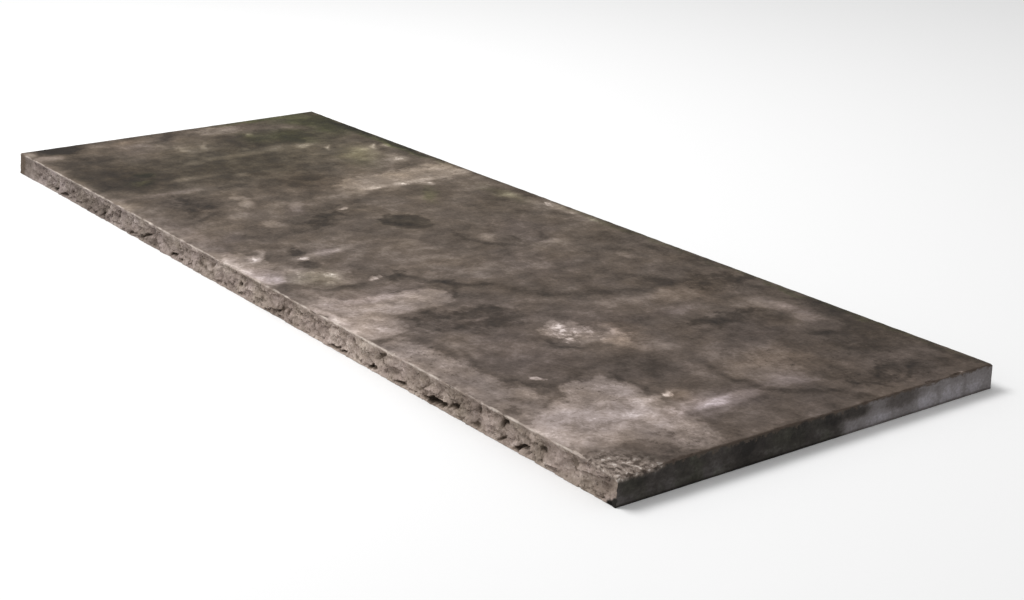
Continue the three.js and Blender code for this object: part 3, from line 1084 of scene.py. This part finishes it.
def crumble(colour, place):
    """Adds the crushed stone of the near corner: white crumbs and darker dust."""
    crumbs = clouds(place, 5, 4, 0.65)
    rubble = mingle(DARK_DUST, PALE_DUST, rise(crumbs, -0.12, 0.06))
    rubble = mingle(rubble, WHITE_CRUMBS, rise(crumbs, 0.08, 0.15))
    return mingle(colour, rubble, 0.75 * attribute(place, "shattered"))


def make_walking_face():
    material, place = new_material("walking face")
    flat = times(place, (1, 1, 0))
    x, y, _ = separate(flat)
    loose = drift(flat, 24, 28, 5)
    tight = drift(flat, 8, 7, 3)

    # Its stains, each fainter or stronger from patch to patch.
    torn = 2.3 * clouds(flat, 12, 6, 0.68)
    lime = pools(loose, LIME, torn)
    damp = pools(loose, DAMP, torn)
    clouded = ovals(loose, PALE) - ovals(loose, DARK) + ovals(drift(flat, 10, 6, 3), STREAKS)
    patchy = 1.1 + 1.8 * clouds(flat, 14, 4, 0.65)
    stained = 1.22 * clouded + 0.23 * (lime - damp) * patchy
    veins = strokes(drift(flat, 14, 14, 4), VEINS) * patchy
    shell = rise(ovals(tight, SHELL) + 1.5 * clouds(flat, 6, 4, 0.7), 0.25, 1.0)

    # Its grain and its pits, and the wear and dirt along its edges.
    base = 0.6 * clouds(loose, 70, 5, 0.6, (1, 1.7, 1))
    mottle = clouds(flat, 18, 5, 0.6) * (0.68 - 0.2 * lime)
    grain = 0.36 * clouds(flat, 3.2, 3, 0.7)
    rough = clouds(flat, 6.5, 4, 0.8)
    pitted = ovals(loose, PITTED)
    pits = rise(rough, 0.06, 0.15) * (0.03 + 0.05 * lime + 0.18 * pitted)
    flecks = rise(rough, -0.18, -0.10, 0.16, 0) * pitted
    worn = rise(y, FRONT + 3, FRONT + 14, 0.14, 0)
    dirty = rise(x, LEFT + 4, LEFT + 14, 0.03, 0) + rise(y, BACK - 12, BACK - 3, 0, 0.04)

    tone = HONED_TONE + base + mottle + grain + stained - veins + 0.46 * shell
    tone = tone + flecks - pits + worn - dirty
    colour = tone.node("ValToRGB", {"stops": LIMESTONE}, {0: tone})
    colour = tint(colour, GREEN_TINT, limit(ovals(loose, GREEN)))
    colour = tint(colour, LAVENDER_TINT, limit(ovals(loose, LAVENDER)))
    colour = tint(colour, BEIGE_TINT, limit(ovals(loose, BEIGE)))
    colour = tint(colour, YELLOW_TINT, limit(0.4 + 3.5 * clouds(flat, 48, 3)))
    colour = tint(colour, BLUE_TINT, rise(x - y, -350, 450))
    colour = bruise(crumble(colour, place), place, BRUISED_WHITE)
    colour = mingle(colour, EDGE_DIRT, attribute(place, "soiled") * (0.8 + 2 * clouds(place, 6, 3)))
    roughness = 0.72 - 0.25 * clouds(flat, 20, 3) - 0.1 * shell
    finish_surface(colour, roughness, grain + 0.6 * mottle, 0.0006)
    return material


mesh.materials.append(make_walking_face())

# ---------------------------------------------------------------------------------------------------
# The rock face: the same limestone as it split, paler and pinker, its hollows darkened partly by dirt held
# in them and partly by painted shade, and a thin bruised white line along the arris. Its left end is darker
# brown, and the foot of the near corner is painted nearly black as shade.
SPLIT_TONE = 0.755
SPLIT_YELLOW = (0.99, 1.01, 0.96)
SPLIT_PINK = (1.02, 0.975, 0.995)
SPLIT_BLUE = (0.965, 1.0, 1.075)
ARRIS_WHITE = paint(204, 193, 184)
LEFT_END_BROWN = paint(84, 70, 56)
CORNER_PAINTED_SHADE = paint(34, 31, 27)
ARRIS_DIRT = paint(46, 40, 34)

# Its paler and darker lengths: x and z of the middle, half length, half height, turn, firmness, strength.
ROCK_PALE = (
    (-120, 17, 60, 10, 0, 0.1, 0.05),
    (-20, 8, 50, 16, 0, 0.1, 0.06),
    (165, 10, 90, 50, 0, 0.2, 0.10),
    (265, 10, 40, 30, 0, 0.1, 0.05),
    (400, 4, 66, 16, 0, 0.1, 0.08),
    (470, 17, 40, 10, 0, 0.1, 0.07),
)
ROCK_DARK = (
    (-495, 10, 26, 60, 0, 0.2, 0.16),
    (-460, 15, 40, 14, 0, 0.1, 0.08),
    (-325, 5, 54, 12, 0, 0.2, 0.15),
    (-285, 15, 34, 12, 0, 0.1, 0.06),
    (-190, 4, 60, 12, 0, 0.1, 0.06),
    (322, 16, 26, 10, 0, 0.1, 0.08),
)


def make_rock_face():
    material, place = new_material("rock face")
    x, _, z = separate(place)
    on_wall = place.node("CombineXYZ", values={0: x, 1: z})
    lengths = ovals(on_wall, ROCK_PALE) - ovals(on_wall, ROCK_DARK)
    flake = clouds(place, 11, 4, 0.6, (1.5, 1, 1))
    grain = clouds(place, 1.8, 3, 0.7)
    pit = rise(clouds(place, 4.2, 2, 0.6, (1, 1, 1.3)), 0.10, 0.19)
    # Painted shade with some grime: the deep hollows and some arris scars are darkened in colour.
    dirt_and_painted_shade = attribute(place, "grimy")
    tone = SPLIT_TONE + lengths + 0.6 * flake + 0.38 * grain - 0.15 * pit - 0.55 * dirt_and_painted_shade
    colour = tone.node("ValToRGB", {"stops": LIMESTONE}, {0: tone})
    colour = tint(colour, SPLIT_YELLOW, limit(0.5 + 4 * clouds(place, 24, 3)))
    colour = tint(colour, SPLIT_PINK, 1.0)
    colour = tint(colour, SPLIT_BLUE, rise(x, -450, 150, 1, 0))
    colour = bruise(colour, place, ARRIS_WHITE)
    # Darker brown towards the left end.
    at_left_end = rise(x + 10 * clouds(place, 5, 4), LEFT + 8, LEFT + 17, 0.75, 0)
    colour = mingle(colour, LEFT_END_BROWN, at_left_end)
    # Painted shade: the foot of the near corner is painted nearly black, as the shade of a chip that faces
    # down.
    from_corner_foot = (RIGHT - x) * (1 / 13) + z * (1 / 8) + 0.8 * clouds(place, 4)
    colour = mingle(colour, CORNER_PAINTED_SHADE, rise(from_corner_foot, 0.7, 1.1, 1, 0))
    colour = crumble(mingle(colour, ARRIS_DIRT, attribute(place, "soiled")), place)
    finish_surface(colour, 0.82 + 0.2 * grain, grain + 1.3 * flake - 0.6 * pit, 0.001)
    return material


mesh.materials.append(make_rock_face())

# ---------------------------------------------------------------------------------------------------
# The sawn faces: the two ends, the back and the bed, grey and faintly lined from the saw. The right end
# is nearly black over its front half, and soil clings to its top edge.
SAWN_TONE = 0.61
SAWN_GREY = (0.86, 0.97, 1.20)
DARK_HALF_GREY = (0.86, 1.0, 1.26)
DARK_HALF_GREEN = (0.97, 1.06, 0.90)
TOP_SOIL = paint(80, 69, 60)
SAWN_EDGE_DIRT = paint(70, 59, 51)

# Marks on the right end: y and z of the middle, half length, half height, turn, firmness and strength.
END_PALE = (
    (-173, 10, 7, 16, 0, 0.2, 0.14),
    (-150, 9, 16, 5, 30, 0.1, 0.08),
    (-128, 5, 18, 5, 0, 0.1, 0.10),
    (-92, 8, 12, 8, -50, 0.1, 0.08),
    (-38, 5, 24, 3, -6, 0.1, 0.07),
    (24, 4, 16, 5, 0, 0.1, 0.06),
    (60, 6, 20, 7, 0, 0.1, 0.08),
    (106, 8, 12, 9, 0, 0.3, 0.12),
    (132, 7, 17, 9, 0, 0.1, 0.12),
    (158, 7, 12, 9, 0, 0.1, 0.07),
)
END_DARK = (
    (-160, 15, 12, 6, 0, 0.1, 0.06),
    (-70, 13, 24, 8, 0, 0.1, 0.06),
    (-50, 9, 36, 16, 0, 0.1, 0.10),
    (14, 15, 18, 8, 0, 0.3, 0.12),
    (35, 15, 16, 7, 0, 0.4, 0.38),
    (47, 13, 8, 9, 0, 0.2, 0.08),
    (82, 14, 26, 8, 0, 0.3, 0.22),
    (119, 10, 3, 12, 0, 0.2, 0.08),
    (146, 10, 3, 14, 0, 0.2, 0.06),
)


def make_sawn_face():
    material, place = new_material("sawn face")
    x, y, z = separate(place)
    on_right_end = rise(x, RIGHT - 20, RIGHT - 10)
    on_wall = drift(place.node("CombineXYZ", values={0: y, 1: z}), 9, 9, 3)
    marked = (ovals(on_wall, END_PALE) - ovals(on_wall, END_DARK)) * on_right_end
    # The front half of the right end is darkened nearly to black, mottled, and given a bluer and greener
    # cast.
    dark_front_half = rise(y + 0.3 * z + 20 * clouds(place, 12, 4), 20, 32, 1, 0) * on_right_end
    dark_front_mottle = clouds(place, 11, 5, 0.65, (1, 1.6, 1))
    blotch = clouds(place, 26, 3, 0.6, (1, 1, 3))
    grain = clouds(place, 2.2, 3, 0.7)
    saw_marks = clouds(place, 1.4, 1, 0.5, (1, 6, 1))
    # Painted shade and light by height: darkest along the foot of the sawn faces, a little lighter just above
    # it and a little darker towards the top.
    shaded = rise(z, 0.4, 2.4, -0.2, 0) + rise(z, 4, 17, 0.06, -0.03)
    tone = SAWN_TONE + 0.4 * blotch + 0.3 * grain + 0.08 * saw_marks + marked + shaded
    tone = tone - dark_front_half * (0.43 - 0.8 * dark_front_mottle)
    colour = tone.node("ValToRGB", {"stops": LIMESTONE}, {0: tone})
    colour = tint(colour, SAWN_GREY, 1 - dark_front_half)
    colour = tint(colour, DARK_HALF_GREY, dark_front_half)
    colour = tint(colour, DARK_HALF_GREEN, limit(0.3 + 5 * clouds(place, 20, 3)) * dark_front_half)
    soil = 0.7 * rise(z + 22 * clouds(place, 6, 5, 0.7), 18, 20)
    colour = mingle(colour, TOP_SOIL, soil * on_right_end)
    soiled = limit(attribute(place, "soiled") * (0.7 + 3 * clouds(place, 5, 4)))
    colour = crumble(mingle(colour, SAWN_EDGE_DIRT, soiled), place)
    finish_surface(colour, 0.7 + 0.3 * blotch, grain + 0.6 * saw_marks, 0.0004)
    return material


mesh.materials.append(make_sawn_face())
WALKING_FACE, ROCK_FACE, SAWN_FACE = range(3)
material_of_side = {"walking face": WALKING_FACE, "rock face": ROCK_FACE}
mesh.polygons.foreach_set("material_index", [material_of_side.get(side, SAWN_FACE) for side in sides])

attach(stone, "root")
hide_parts("coping_stone")

# ---------------------------------------------------------------------------------------------------
# The studio: a pale seamless floor just under the bed, a large soft box high on the left, and white walls
# all round.

FLOOR_REACH = 8
FLOOR_GAP = 0.0002
corners = [(-FLOOR_REACH, -FLOOR_REACH, 0), (FLOOR_REACH, -FLOOR_REACH, 0)]
corners += [(FLOOR_REACH, FLOOR_REACH, 0), (-FLOOR_REACH, FLOOR_REACH, 0)]
floor_mesh = bpy.data.meshes.new("floor")
floor_mesh.from_pydata(corners, [], [(0, 1, 2, 3)])
floor = bpy.data.objects.new("floor", floor_mesh)
bpy.context.scene.collection.objects.link(floor)
floor.location.z = -FLOOR_GAP
pale = bpy.data.materials.new("pale floor")
pale.use_nodes = True
pale_surface = pale.node_tree.nodes["Principled BSDF"]
pale_surface.inputs["Base Color"].default_value = (0.9, 0.9, 0.9, 1)
pale_surface.inputs["Roughness"].default_value = 0.9
floor_mesh.materials.append(pale)

softbox = bpy.data.objects.new("soft box", bpy.data.lights.new("soft box", "AREA"))
softbox.data.shape = "RECTANGLE"
softbox.data.size = 1.4
softbox.data.size_y = 1.0
softbox.data.energy = 44
softbox.location = (-0.9, -0.7, 2.0)
softbox.rotation_euler = (-softbox.location).to_track_quat("-Z", "Y").to_euler()
bpy.context.scene.collection.objects.link(softbox)

world = bpy.data.worlds.new("white walls")
world.use_nodes = True
walls_glow = world.node_tree.nodes["Background"]
walls_glow.inputs["Color"].default_value = (1, 1, 1, 1)
walls_glow.inputs["Strength"].default_value = 0.55
bpy.context.scene.world = world
bpy.context.scene.view_settings.view_transform = "Standard"
